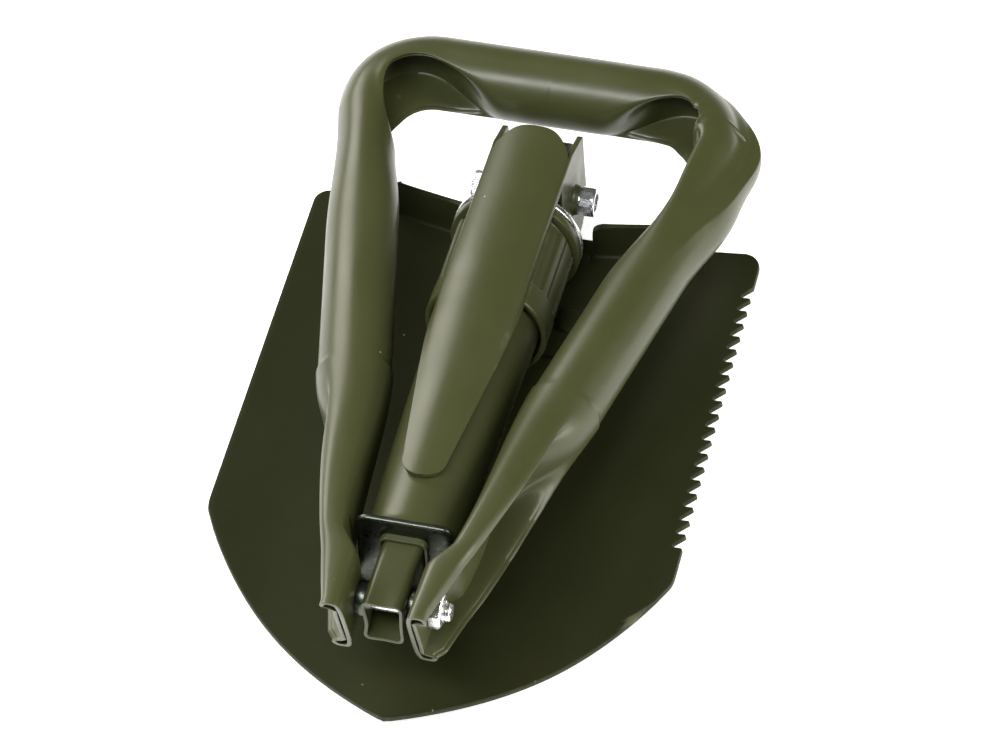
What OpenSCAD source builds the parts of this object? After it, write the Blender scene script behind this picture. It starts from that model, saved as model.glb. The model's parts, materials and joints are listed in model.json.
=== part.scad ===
// Tri-fold camp shovel, folded flat with its blade on the ground.
// X runs across the blade towards the saw teeth, Y from the blade's tip to the D-handle's bar, Z up.
// The origin is at the centre of the folded shovel's footprint, at the level it rests on.

/* [Overall] */
// Folded length, from the blade's tip to the outside of the handle bar
folded_l = 246.5; // [244:0.5:252]
// Thickness of the blade's sheet
sheet = 2; // [1.8:0.1:2.2]
// Lean of the folded shaft above the blade, in degrees
shaft_lean = 5.8; // [5.6:0.1:6.2]

/* [Blade] */
// Width of the blade between its straight sides
blade_w = 152; // [148:1:156]
// Length of the blade from tip to top edge
blade_l = 201; // [200:1:204]
// Radius of the blade's upturned sides and tip
dish_r = 360; // [340:10:420]
// Width of the flat middle band that the blade rests on
flat_w = 32; // [30:1:36]
// Number of saw teeth on the right side
teeth = 21; // [12:1:21]
// Distance from one saw tooth to the next
tooth_pitch = 5.35; // [5:0.05:5.4]
// Depth of the saw teeth
tooth_depth = 3.4; // [2.5:0.1:4]
// Height of the foot-step lips above the sheet
lip_h = 13; // [12:0.5:13.5]

/* [Shaft] */
// Height of the blade pivot above the ground
pivot_z = 24; // [24:0.1:24.6]
// Distance from the tip to the blade pivot
pivot_from_tip = 198.3; // [198:0.1:199]
// Width of the inner tube, across the shovel
inner_w = 13; // [12.6:0.1:13.2]
// Height of the inner tube
inner_h = 17; // [16:0.1:17.2]
// Distance from the blade pivot to the inner tube's free end
inner_end = 188.7; // [188:0.1:190]
// Distance from the blade pivot to the handle bolt
handle_s = 180; // [179:0.1:181]
// Outer radius of the outer tube beside the collar
outer_r_top = 17; // [16.8:0.1:17]
// Outer radius of the outer tube at its end plate
outer_r_low = 14.4; // [14:0.1:14.6]
// Width of the square end plate
plate_w = 30.6; // [30:0.1:30.6]

/* [Collar] */
// Outer radius of the collar's ribbed body
collar_r = 20; // [19.6:0.1:20.2]
// Outer radius of the pressure ring and the collar's flange
ring_r = 21.6; // [21.2:0.1:21.6]
// Number of grip ribs around the collar
ribs = 12; // [8:1:16]

/* [Handle] */
// Outer radius of the handle's tube
grip_r = 12.3; // [11.5:0.1:12.5]
// Half the distance between the two corners of the D-handle, on the tube's centre line
corner_x = 64.5; // [63:0.5:66]
// Height of the handle bar's centre line above the ground
bar_z = 32.8; // [32:0.1:33.5]
// Height of the flattened leg ends
leg_end_h = 31.5; // [30:0.5:31.5]

/* [Hidden] */
$fn = 72;

olive = "#545839";
dark_olive = "#3f442c";
zinc = "#c4ccce";

tip_y = -folded_l / 2;
pivot_y = tip_y + pivot_from_tip;
bar_y = folded_l / 2 - grip_r;
half_w = blade_w / 2;
fit = 0.05;          // radial clearance of a shaft turning in its hole
bolt_r = 3;          // both pivot bolts are M6

// Blade: places measured from the tip
lip_y = 196.3;       // outer face of each lip's foot, where x is lip_mid
lip_mid = 25;
lip_turn = 8;        // turn of each lip in plan, its outer end further from the tip
lip_in = 19.8;       // inner and outer ends of each lip
lip_out = 49;
lip_tilt = 8;        // lean of the lips away from the blade
notch_w = 26.8;      // central notch that the brace channel swings through
notch_y = 181;       // bottom of that notch
corner_r = 6;        // rounding of the blade's top corners
tooth_top_y = 182;   // tip of the first tooth
nose_r = 141;        // radius of the two arcs that meet at the blade's tip
nose_x = 49;         // distance of their centres beyond the middle
nose_y = sqrt(nose_r * nose_r - nose_x * nose_x);
shoulder_y = nose_y - sqrt(pow(nose_r, 2) - pow(half_w + nose_x, 2));

// Bracket
foot_x = 26;         // half width of the bracket's riveted foot
foot_y = [149, 171];
bracket_t = 2;
ear_in = 7.2;        // inner and outer faces of the two ears
ear_out = 10;
ear_r = 18;          // reach of the rounded cam corners
cam_open = 16.2;     // distance from the pivot to the flats that lock the blade open and half open
cam_folded = 15.6;   // the same for the flat that faces the ring when folded
open_turn = 174;     // turn of the shaft from folded to open
arm_in = 5.6;        // inner edge of the arms that carry the ears
web_y = 15.4;        // near edge of the ears' webs, from the pivot
web_w = 8;
rivet_r = 4.9;
rivet_at = [[20.1, 163.5], [-20.1, 163.5], [9, 155], [-9, 155]];

// Brace channel, in shaft coordinates
crown_r = 24;        // outside of the crown, about the shaft's axis
channel_t = 1.8;
wall_x = 13;         // outside of the side walls
crown_x = 13.9;      // half width of the crown over the collar
tongue_s = 66;       // where the crown starts to taper down to the outer tube
tongue_end = 142.4;
tongue_x = 7.4;      // half width of the tongue's rounded end
boss_x = 15.3;       // outer face of the bosses around the pivot bolt

// Lock parts, in shaft coordinates
ring_s = [19.5, 21.8];
flange_s = [22, 25.6];
collar_s = [27, 63.5];
ferrule_s = [30, 66];
tube_s = [58, 159.5];
plate_s = [159.5, 161.5];
inner_s = -9;
inner_wall = 1.5;
tube_wall = 1.6;
thread_r = 16.9;     // outside of the ferrule's thread

// Handle, measured from its bolt along the handle
grip_wall = 1.6;
leg_face_x = 9.8;    // inner face of the flattened leg ends
leg_web = 3.2;       // the two walls pressed together
leg_loop = 7.4;      // depth of the flattened ends, across
leg_lift = 1.4;      // height of the flattened ends' middle above the bolt
leg_end = -16.5;     // the end cut's furthest point from the bar
cut_skew = 7.7;      // the end cut is further from the bolt at its top by this much
spread_y = 15.2;     // the legs spread past the end plate here
spread_x = 19.9;
press_gap = 0.15;    // left between the two walls where they are pressed together
crush_end = 85;
bend_r = 20;         // centre-line radius of the two corners
leg_stations = [crush_end, 70, 55, 40, 27, spread_y, 7, -8];
bend_steps = 6;
ring_n = 24;         // points around the tube

bolt_y = pivot_y - handle_s * cos(shaft_lean);
bolt_z = pivot_z + handle_s * sin(shaft_lean);
handle_pitch = atan2(bar_z - bolt_z, bar_y - bolt_y);
handle_l = norm([bar_y - bolt_y, bar_z - bolt_z]);
leg_x0 = 14.6;       // where the leg's centre line would meet the bolt's line
leg_slope = (corner_x - leg_x0) / handle_l;
leg_turn = atan(leg_slope);
bend_x = corner_x - bend_r * tan((90 + leg_turn) / 2);

// ---------- Helpers ----------

// Turns the shaft's own frame, z away from the pivot and y up, into the shovel's frame
module shaft_frame() {
  translate([0, pivot_y, pivot_z]) rotate([90 - shaft_lean, 0, 0]) children();
}

// Handle frame: origin on the bolt, y along the handle towards its bar
module handle_frame() {
  translate([0, bolt_y, bolt_z]) rotate([handle_pitch, 0, 0]) children();
}

// A cylinder along X from a to b
module rod_x(r, a, b, sides = 48) {
  translate([a, 0, 0]) rotate([0, 90, 0]) cylinder(r = r, h = b - a, $fn = sides);
}

module both_sides() {
  children();
  mirror([1, 0, 0]) children();
}

// Rectangle w by h, centred, with corners of radius r
module round_rect(w, h, r) {
  union() {
    square([w - 2 * r, h], center = true);
    square([w, h - 2 * r], center = true);
    for (x = [-1, 1], y = [-1, 1]) translate([x * (w / 2 - r), y * (h / 2 - r)]) circle(r = r, $fn = 32);
  }
}

// Tube of rings between s[0] and s[1]
module ring(ro, ri, s) {
  translate([0, 0, s[0]]) difference() {
    cylinder(r = ro, h = s[1] - s[0]);
    translate([0, 0, -1]) cylinder(r = ri, h = s[1] - s[0] + 2);
  }
}

// ---------- Blade ----------

// Distance from the tip to the outer face of a lip's foot, x from the middle
function lip_foot(x) = lip_y + (x - lip_mid) * tan(lip_turn);

// The pointed lower end: two arcs that meet at the tip
module nose() {
  intersection() {
    translate([nose_x, nose_y]) circle(r = nose_r, $fn = 180);
    translate([-nose_x, nose_y]) circle(r = nose_r, $fn = 180);
    translate([-half_w, 0]) square([blade_w, shoulder_y + 1]);
  }
}

module saw_cuts() {
  for (i = [0 : teeth])
    translate([half_w, tooth_top_y + tooth_pitch - i * tooth_pitch])
      polygon([
        [1, 0.35],
        [-tooth_depth + 0.4, -tooth_pitch + 2.1],
        [-tooth_depth, -tooth_pitch + 1.2],
        [-tooth_depth + 0.5, -tooth_pitch + 0.5],
        [1, -tooth_pitch + 0.35]
      ]);
}

module blade_outline() {
  relief = 2;
  difference() {
    union() {
      nose();
      translate([-half_w, shoulder_y]) square([blade_w, blade_l - shoulder_y - corner_r]);
      translate([-half_w + corner_r, blade_l - corner_r - 1]) square([blade_w - 2 * corner_r, corner_r + 1]);
      for (x = [-1, 1])
        translate([x * (half_w - corner_r), blade_l - corner_r]) circle(r = corner_r, $fn = 48);
    }
    saw_cuts();
    both_sides() polygon([
      [lip_in, lip_foot(lip_in) - sheet / 2],
      [lip_out + relief, lip_foot(lip_out + relief) - sheet / 2],
      [lip_out + relief, blade_l + 5],
      [lip_in, blade_l + 5]
    ]);
    translate([-lip_in - 1, blade_l - 1]) square([2 * lip_in + 2, 5]);
    translate([-notch_w / 2, notch_y]) square([notch_w, blade_l]);
    for (p = rivet_at) translate(p) circle(r = 2.5, $fn = 32);
  }
}

// Cross profile of everything above the dished surface, lifted by z0; flat in the middle band
module dish_profile(z0, flat_half, reach) {
  rise = function(d) dish_r - sqrt(dish_r * dish_r - d * d);
  steps = 10;
  span = reach - flat_half;
  side = [for (i = [0 : steps]) [flat_half + span * i / steps, z0 + rise(span * i / steps)]];
  polygon(concat(
    [for (i = [steps : -1 : 0]) [-side[i][0], side[i][1]]],
    side,
    [[reach, 40], [-reach, 40]]
  ));
}

// Space above the dished surface: the sides curve up along X and the tip along Y
module above_dish(z0) {
  tip_flat = 60;
  intersection() {
    translate([0, blade_l + 20, 0]) rotate([90, 0, 0])
      linear_extrude(blade_l + 40) dish_profile(z0, flat_w / 2, half_w + 4);
    translate([-half_w - 10, 0, 0]) rotate([90, 0, 90]) linear_extrude(blade_w + 20)
      translate([tip_flat + 200, 0]) dish_profile(z0, 200, 200 + tip_flat + 4);
  }
}

// One foot-step lip, standing on the bend line
module lip() {
  r = 3;
  width = (lip_out - lip_in) / cos(lip_turn);
  rise = lip_h + sheet / 2;
  translate([lip_in, lip_foot(lip_in), sheet / 2]) rotate(lip_turn) rotate([90 - lip_tilt, 0, 0])
    linear_extrude(sheet) union() {
      square([width, rise - r]);
      translate([r, 0]) square([width - 2 * r, rise]);
      for (x = [r, width - r]) translate([x, rise - r]) circle(r = r, $fn = 32);
    }
}

module blade_plate() {
  color(dark_olive) translate([0, tip_y, 0]) union() {
    difference() {
      intersection() {
        linear_extrude(20) blade_outline();
        above_dish(0);
      }
      above_dish(sheet);
    }
    intersection() {
      both_sides() lip();
      above_dish(0);
    }
  }
}

// ---------- Hinge bracket ----------

// Half plane whose edge lies at distance d from the pivot, facing the angle a
module cam_side(a, d) {
  rotate(a) translate([d - 100, -50]) square(100);
}

// Side view of one ear about the pivot: a cam with three flats and a web down to the arm
module ear_profile() {
  difference() {
    union() {
      intersection() {
        circle(r = ear_r, $fn = 96);
        cam_side(180 - shaft_lean, cam_folded);
        cam_side(180 - shaft_lean - open_turn / 2, cam_open);
        cam_side(180 - shaft_lean - open_turn, cam_open);
      }
      translate([-web_y, sheet - pivot_z]) square([web_w, pivot_z - sheet - 6]);
    }
    circle(r = bolt_r + fit, $fn = 48);
  }
}

// Plan of the riveted foot and the two arms that carry the ears
module bracket_foot() {
  difference() {
    union() {
      translate([0, (foot_y[0] + foot_y[1]) / 2]) round_rect(2 * foot_x, foot_y[1] - foot_y[0], 5);
      for (x = [-1, 1])
        translate([x * (arm_in + ear_out) / 2 - (ear_out - arm_in) / 2, foot_y[1] - 2])
          square([ear_out - arm_in, pivot_from_tip - web_y + web_w - foot_y[1] + 2]);
    }
    for (p = rivet_at) translate(p) circle(r = 2.5, $fn = 32);
  }
}

module hinge_bracket() {
  ear_t = ear_out - ear_in;
  color(dark_olive) union() {
    translate([0, tip_y, 0]) intersection() {
      translate([0, 0, sheet]) linear_extrude(bracket_t) bracket_foot();
      above_dish(sheet);
    }
    both_sides() translate([ear_in, pivot_y, pivot_z]) rotate([90, 0, 90]) linear_extrude(ear_t) ear_profile();
  }
}

module bracket_rivets() {
  color(dark_olive)
    for (p = rivet_at) translate([p[0], tip_y + p[1], 0]) union() {
      translate([0, 0, 0.4]) cylinder(r = 2.5, h = sheet + bracket_t - 0.3, $fn = 32);
      translate([0, 0, sheet + bracket_t]) intersection() {
        translate([0, 0, -5.2]) sphere(r = 7.1, $fn = 72);
        cylinder(r = rivet_r, h = 4, $fn = 48);
      }
    }
}

// ---------- Shaft ----------

module inner_tube() {
  color(olive) shaft_frame() difference() {
    translate([0, 0, inner_s]) linear_extrude(inner_end - inner_s) difference() {
      round_rect(inner_w, inner_h, 2.2);
      round_rect(inner_w - 2 * inner_wall, inner_h - 2 * inner_wall, 1);
    }
    rod_x(bolt_r + fit, -20, 20);
    translate([0, 0, handle_s]) rod_x(bolt_r + fit, -20, 20);
  }
}

// Side view of the brace channel: x is the distance from the pivot, y the height above the axis
module channel_side() {
  polygon([
    [3, 20.3], [-8, 24.3], [-8, 30], [tongue_end + 1, 30], [tongue_end + 1, 8], [60, 10], [14, 18],
    [13.8, -10], [-3, -22], [-12.5, -22], [-16.5, -14], [-17.6, -9], [-14, 12.6], [-12.8, 14.4]
  ]);
}

// Plan of the crown: as wide as the walls, full width over the collar, then a taper to its rounded end
module channel_plan() {
  half = [[wall_x, -20], [wall_x, 10], [crown_x, 18], [crown_x, tongue_s], [tongue_x, tongue_end - tongue_x]];
  union() {
    polygon(concat(half, [for (i = [len(half) - 1 : -1 : 0]) [-half[i][0], half[i][1]]]));
    translate([0, tongue_end - tongue_x]) circle(r = tongue_x, $fn = 48);
  }
}

// Curved sheet about the shaft's axis: level over the collar, then coming down to the outer tube
module crown_sheet() {
  low_r = outer_r_low + 2.6;
  difference() {
    union() {
      translate([0, 0, -20]) cylinder(r = crown_r, h = 20 + tongue_s);
      translate([0, 0, tongue_s]) cylinder(r1 = crown_r, r2 = low_r, h = tongue_end - tongue_s + 2);
    }
    translate([0, 0, -21]) cylinder(r = crown_r - channel_t, h = 21.01 + tongue_s);
    translate([0, 0, tongue_s])
      cylinder(r1 = crown_r - channel_t, r2 = low_r - channel_t, h = tongue_end - tongue_s + 2.1);
    translate([-50, -100 + 9, -50]) cube([100, 100, 300]);
  }
}

module channel_walls() {
  both_sides() {
    translate([wall_x - channel_t, -30, -20]) cube([channel_t, 50, 33.8]);
    translate([wall_x - 0.5, 0, 0]) rotate([0, 90, 0])
      cylinder(r1 = 7, r2 = 4.6, h = boss_x - wall_x + 0.5, $fn = 48);
  }
}

module brace_channel() {
  color(olive) shaft_frame() difference() {
    intersection() {
      union() {
        intersection() {
          crown_sheet();
          translate([0, 40, 0]) rotate([90, 0, 0]) linear_extrude(80) channel_plan();
        }
        channel_walls();
      }
      translate([-30, 0, 0]) rotate([90, 0, 90]) rotate(90) mirror([0, 1]) linear_extrude(60) channel_side();
    }
    rod_x(bolt_r + fit, -30, 30);
  }
}

// M6 cap screw, head on the left
module pivot_bolt() {
  color(zinc) shaft_frame() difference() {
    union() {
      rod_x(bolt_r, -boss_x - 0.5, 19.2);
      rod_x(4.9, -20.3, -boss_x - 0.05);
    }
    rod_x(2.4, -21, -18, 6);
  }
}

// Lock nut: a hexagon with its round insert
module lock_nut(a, b) {
  difference() {
    union() {
      rod_x(5.4, a, b - 1.3, 6);
      rod_x(4.6, b - 1.4, b);
    }
    rod_x(bolt_r + 0.02, a - 1, b + 1);
  }
}

module pivot_nut() {
  color(zinc) shaft_frame() lock_nut(boss_x + 0.05, 20.3);
}

module pivot_washers() {
  color(zinc) shaft_frame() both_sides() difference() {
    rod_x(6.2, ear_out + 0.1, wall_x - channel_t - 0.05);
    rod_x(bolt_r + fit, 0, 20);
  }
}

// ---------- Outer tube ----------

module thread_ferrule() {
  color(olive) shaft_frame() difference() {
    union() {
      translate([0, 0, ferrule_s[0]]) cylinder(r = thread_r, h = tube_s[0] - ferrule_s[0]);
      translate([0, 0, tube_s[0] - 1]) cylinder(r = outer_r_top - tube_wall - 0.3, h = ferrule_s[1] - tube_s[0] + 1);
    }
    translate([0, 0, ferrule_s[0] - 1]) cylinder(r = 10.8, h = 60);
  }
}

module outer_tube() {
  len = tube_s[1] - tube_s[0];
  color(olive) shaft_frame() translate([0, 0, tube_s[0]]) difference() {
    cylinder(r1 = outer_r_top, r2 = outer_r_low, h = len);
    translate([0, 0, -0.01]) cylinder(r1 = outer_r_top - tube_wall, r2 = outer_r_low - tube_wall, h = len + 0.02);
  }
}

module end_plate() {
  color(zinc) shaft_frame() translate([0, 0, plate_s[0]]) linear_extrude(plate_s[1] - plate_s[0]) difference() {
    round_rect(plate_w, plate_w, 3.5);
    round_rect(inner_w + 0.6, inner_h + 0.6, 2.4);
  }
}

// ---------- Lock ----------

module pressure_ring() {
  color(zinc) shaft_frame() ring(ring_r, 11.6, ring_s);
}

module lock_collar() {
  rib_w = 360 / ribs;
  color(olive) shaft_frame() difference() {
    union() {
      ring(ring_r - 0.1, thread_r + fit, flange_s);
      ring(18.8, thread_r + fit, [flange_s[1] - 0.1, collar_s[0] + 0.1]);
      ring(collar_r, thread_r + fit, collar_s);
    }
    for (i = [0 : ribs - 1]) rotate(i * rib_w)
      translate([collar_r - 0.9, -3.4, collar_s[0] - 0.5]) cube([3, 6.8, 27]);
    translate([0, 0, tube_s[0] - 2]) cylinder(r = 18.2, h = 10);
  }
}

// ---------- Handle ----------

function smooth(t) = let (c = max(0, min(1, t))) c * c * (3 - 2 * c);

function mix(a, b, t) = a + (b - a) * t;

function signed_pow(v, p) = sign(v) * pow(abs(v), p);

// Crushing of a leg at y: 0 where it is a round tube, 1 where its outer wall is pressed onto the inner one
function crush(y) = smooth((crush_end - y) / (crush_end - spread_y));

// Centre line of a leg: straight, then bent in beside the end plate
function leg_axis(y) =
  y >= crush_end ? leg_x0 + leg_slope * y
  : y >= spread_y ? mix(spread_x, leg_x0 + leg_slope * crush_end, (y - spread_y) / (crush_end - spread_y))
  : leg_face_x + leg_loop / 2;

// Point of the tube's section at angle t, [outwards, up], for crushing c; inset is 0 outside and the wall inside
function section_point(t, c, inset) =
  let (
    half_w = mix(grip_r, leg_loop / 2, c) - inset,
    half_h = mix(grip_r, leg_end_h / 2, c) - inset,
    power = 1 - c / 2,
    pressed = 1 - smooth((abs(t) - 18) / 26),
    travel = leg_loop - leg_web - (inset > 0 ? press_gap : 0)
  )
  [
    half_w * signed_pow(cos(t), power) - c * travel * pressed,
    c * leg_lift + half_h * signed_pow(sin(t), power)
  ];

// Sections from the bar's middle to the right leg's end: [x, y, turn, crushing, skew]
half_path = concat(
  [[0, handle_l, 0, 0, 0], [bend_x, handle_l, 0, 0, 0]],
  [
    for (i = [1 : bend_steps])
      let (turn = (90 + leg_turn) * i / bend_steps)
      [bend_x + bend_r * sin(turn), handle_l - bend_r + bend_r * cos(turn), turn, 0, 0]
  ],
  [for (y = leg_stations) [leg_axis(y), y, 90 + leg_turn * (1 - crush(y)), crush(y), 0]],
  [[leg_axis(leg_end), leg_end, 90, 1, cut_skew]]
);

// Ring of points of one section; side is -1 for the left half
function section_ring(s, inset, side) = [
  for (i = [0 : ring_n - 1])
    let (p = section_point(360 * i / ring_n - 180, s[3], inset))
    [
      side * (s[0] + p[0] * sin(s[2])),
      s[1] + p[0] * cos(s[2]) + s[4] * (0.5 - (p[1] - leg_lift) / leg_end_h),
      p[1]
    ]
];

module handle_shell() {
  m = len(half_path);
  n = ring_n;
  rings = 2 * m - 1;
  skin = [
    for (inset = [0, grip_wall], k = [1 - m : m - 1])
      each section_ring(half_path[abs(k)], inset, k < 0 ? -1 : 1)
  ];
  in0 = rings * n;
  last = (rings - 1) * n;
  polyhedron(
    points = skin,
    faces = [
      for (i = [0 : n - 1])
        let (j = (i + 1) % n)
        each concat(
          [
            for (k = [0 : rings - 2])
              let (a = k * n, b = a + n)
              each [[a + i, b + i, b + j], [a + i, b + j, a + j],
                [in0 + b + j, in0 + b + i, in0 + a + i], [in0 + a + j, in0 + b + j, in0 + a + i]]
          ],
          [[i, j, in0 + j], [i, in0 + j, in0 + i]],
          [[last + j, last + i, in0 + last + i], [last + j, in0 + last + i, in0 + last + j]]
        )
    ]
  );
}

module handle_tube() {
  color(olive) handle_frame() difference() {
    handle_shell();
    rod_x(bolt_r + fit, -30, 30);
  }
}

module handle_bolt() {
  color(zinc) handle_frame() union() {
    rod_x(bolt_r, -leg_face_x - leg_web - 1, 19.5);
    rod_x(4.9, -leg_face_x - leg_web - 4.4, -leg_face_x - leg_web - 0.05);
  }
}

module handle_nut() {
  nut_x = leg_face_x + leg_web + 0.05;
  color(zinc) handle_frame() lock_nut(nut_x, nut_x + 5);
}

module handle_washers() {
  color(zinc) handle_frame() both_sides() difference() {
    rod_x(5.6, inner_w / 2 + 0.15, leg_face_x - 0.05);
    rod_x(bolt_r + fit, 0, 20);
  }
}

blade_plate();
hinge_bracket();
bracket_rivets();
inner_tube();
brace_channel();
pivot_bolt();
pivot_nut();
pivot_washers();
thread_ferrule();
outer_tube();
end_plate();
pressure_ring();
lock_collar();
handle_tube();
handle_bolt();
handle_nut();
handle_washers();
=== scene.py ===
"""Looks of a folded camp shovel: bent and pressed sheet steel in olive paint, with zinc-plated hardware.

Working units are millimetres, turned into metres where a mesh is made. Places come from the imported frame:
joints give both pivots and the shaft's direction, node boxes the blade's tip and the fasteners' ends.
"""

import json
import math

import bmesh
import bpy
import numpy as np
from mathutils import Matrix, Vector


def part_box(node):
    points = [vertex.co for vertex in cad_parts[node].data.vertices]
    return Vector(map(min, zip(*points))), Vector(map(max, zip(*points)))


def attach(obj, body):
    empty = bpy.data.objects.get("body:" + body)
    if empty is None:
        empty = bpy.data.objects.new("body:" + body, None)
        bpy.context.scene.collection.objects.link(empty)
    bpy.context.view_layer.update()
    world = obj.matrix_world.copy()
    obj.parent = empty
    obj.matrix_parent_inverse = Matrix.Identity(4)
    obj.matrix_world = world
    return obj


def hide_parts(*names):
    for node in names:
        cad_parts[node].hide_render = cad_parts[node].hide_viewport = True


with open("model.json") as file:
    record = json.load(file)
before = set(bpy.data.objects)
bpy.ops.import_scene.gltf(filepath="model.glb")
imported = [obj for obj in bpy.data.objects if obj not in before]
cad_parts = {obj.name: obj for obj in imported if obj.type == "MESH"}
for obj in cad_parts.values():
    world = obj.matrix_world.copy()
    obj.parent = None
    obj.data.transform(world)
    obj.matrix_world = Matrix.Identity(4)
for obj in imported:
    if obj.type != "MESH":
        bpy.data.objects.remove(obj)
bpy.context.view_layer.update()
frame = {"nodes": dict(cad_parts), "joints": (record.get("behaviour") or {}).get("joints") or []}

MM = 0.001
JOINTS = {j["name"]: j for j in frame["joints"]}


# ---------- Frames ----------

def node_box(name):
    """Lowest and highest corner of a CAD node, in millimetres."""
    low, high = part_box(name)
    return np.array(low) / MM, np.array(high) / MM


PIVOT = np.array(JOINTS["blade_fold"]["pos_m"]) / MM
BOLT = np.array(JOINTS["handle_fold"]["pos_m"]) / MM
TOWARDS_PIVOT = np.array(JOINTS["ring_slide"]["axis"], float)
GRIP_R = 12.3                        # radius of the handle's tube at the bar
BAR = np.array([0.0, 112.3, 33.0])   # middle of the handle's bar


def shaft_point(x, h, s):
    """Shaft measures to the row frame: s runs away from the blade pivot, h above the shaft's axis."""
    along = -TOWARDS_PIVOT
    up = np.array([0.0, along[2], -along[1]])
    x, h, s = np.broadcast_arrays(np.asarray(x, float), h, s)
    return PIVOT + s[..., None] * along + h[..., None] * up + x[..., None] * np.array([1.0, 0.0, 0.0])


def handle_point(x, y, z):
    """Handle measures to the row frame: y runs from the handle bolt towards the bar."""
    along = (BAR - BOLT) / np.linalg.norm(BAR - BOLT)
    up = np.array([0.0, -along[2], along[1]])
    x, y, z = np.broadcast_arrays(np.asarray(x, float), y, z)
    return BOLT + y[..., None] * along + z[..., None] * up + x[..., None] * np.array([1.0, 0.0, 0.0])


# ---------- Curves and profiles ----------

def smooth(t):
    t = np.clip(t, 0.0, 1.0)
    return t * t * (3 - 2 * t)


def mix(a, b, t):
    return a + (b - a) * t


def between(v, start, full_from, full_to, end):
    """1 from full_from to full_to, falling smoothly to 0 at start and end."""
    return smooth((v - start) / (full_from - start)) * smooth((end - v) / (end - full_to))


def signed_power(v, p):
    return np.sign(v) * np.abs(v) ** p


def rounded_rect(w, h, r, corner_steps=6, side_steps=3):
    """Closed loop of points round a w by h rectangle with corners of radius r."""
    def on_arc(cx, cy, degrees):
        return cx + r * math.cos(math.radians(degrees)), cy + r * math.sin(math.radians(degrees))

    loop = []
    corners = [(w / 2 - r, h / 2 - r, 0), (-w / 2 + r, h / 2 - r, 90), (-w / 2 + r, -h / 2 + r, 180),
               (w / 2 - r, -h / 2 + r, 270)]
    for k, (cx, cy, start) in enumerate(corners):
        arc = [on_arc(cx, cy, start + 90 * i / corner_steps) for i in range(corner_steps + 1)]
        following = on_arc(*corners[(k + 1) % 4])
        loop += arc
        for i in range(1, side_steps):
            t = i / side_steps
            loop.append((mix(arc[-1][0], following[0], t), mix(arc[-1][1], following[1], t)))
    return np.array(loop)


# ---------- Mesh helpers ----------

def grid_faces(rows, cols, wrap=False, start=0):
    """Quads of a grid of points numbered row by row; wrap joins the last column to the first."""
    faces = []
    for r in range(rows - 1):
        for c in range(cols if wrap else cols - 1):
            d = (c + 1) % cols
            a, b = start + r * cols, start + (r + 1) * cols
            faces.append((a + c, a + d, b + d, b + c))
    return faces


class Mesh:
    """Points and faces gathered from several grids."""

    def __init__(self):
        self.points = []
        self.faces = []

    def add_grid(self, points, wrap=False, flip=False):
        rows, cols = points.shape[:2]
        faces = grid_faces(rows, cols, wrap, len(self.points))
        self.points += [tuple(p) for p in points.reshape(-1, 3)]
        self.faces += [f[::-1] for f in faces] if flip else faces
        return self

    def add_fan(self, ring, flip=False):
        """Closes a ring of points with triangles round its centre."""
        start = len(self.points)
        self.points += [tuple(p) for p in ring] + [tuple(np.mean(ring, axis=0))]
        n = len(ring)
        faces = [(start + i, start + (i + 1) % n, start + n) for i in range(n)]
        self.faces += [f[::-1] for f in faces] if flip else faces
        return self

    def merged(self, size=1e-3):
        """Joins points closer than size and drops the faces that vanish."""
        keys, where, points = {}, [], []
        for p in self.points:
            key = tuple(round(v / size) for v in p)
            if key not in keys:
                keys[key] = len(points)
                points.append(p)
            where.append(keys[key])
        faces = []
        for f in self.faces:
            g = tuple(dict.fromkeys(where[i] for i in f))
            if len(g) > 2:
                faces.append(g)
        self.points, self.faces = points, faces
        return self


def thicken(sheet, thickness, edge_r):
    """Turns an open sheet into a plate, thickened along its normals; edge_r rounds its cut edges."""
    sheet.merged()
    p = np.array(sheet.points)
    normal = np.zeros_like(p)
    inward = np.zeros_like(p)
    edges = {}
    for f in sheet.faces:
        q = p[list(f)]
        n = np.cross(q[1] - q[0], q[2] - q[0]) + (np.cross(q[2] - q[0], q[3] - q[0]) if len(f) == 4 else 0)
        for k, i in enumerate(f):
            normal[i] += n
            j = f[(k + 1) % len(f)]
            edges.setdefault((min(i, j), max(i, j)), []).append((i, j, n))
    normal /= np.maximum(np.linalg.norm(normal, axis=1, keepdims=True), 1e-12)
    rim = [e[0] for e in edges.values() if len(e) == 1]
    for i, j, n in rim:
        d = np.cross(n, p[j] - p[i])
        d /= max(np.linalg.norm(d), 1e-12)
        inward[i] += d
        inward[j] += d
    size = np.linalg.norm(inward, axis=1, keepdims=True)
    inward = inward / np.maximum(size, 1e-12) * np.clip(2 / np.maximum(size, 1e-12), 1, 1.6)
    inward[size[:, 0] < 1e-9] = 0
    on_rim = sorted({i for e in rim for i in e[:2]})
    number = {v: k for k, v in enumerate(on_rim)}
    count = len(p)
    rim_p, rim_n = p[on_rim], normal[on_rim]
    low = p + inward * edge_r
    high = p + normal * thickness + inward * edge_r
    # the rim bulges between the two insets in three steps
    levels = [(0.3, 0.3), (1.0, 0.0), (thickness / edge_r - 1.0, 0.0), (thickness / edge_r - 0.3, 0.3)]
    rows = [rim_p + rim_n * edge_r * up + inward[on_rim] * edge_r * back for up, back in levels]
    out = Mesh()
    out.points = [tuple(v) for v in np.vstack([low, high] + rows)]
    out.faces = [f[::-1] for f in sheet.faces] + [tuple(i + count for i in f) for f in sheet.faces]
    m = len(on_rim)

    def chain(i):
        """Numbers of the points across the rim at point i, from low to high."""
        return [i] + [2 * count + k * m + number[i] for k in range(len(rows))] + [count + i]

    for i, j, _ in rim:
        a, b = chain(i), chain(j)
        out.faces += [(a[k], b[k], b[k + 1], a[k + 1]) for k in range(len(a) - 1)]
    return out


def add_to_scene(name, data):
    thing = bpy.data.objects.new(name, data)
    bpy.context.scene.collection.objects.link(thing)
    return thing


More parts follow.
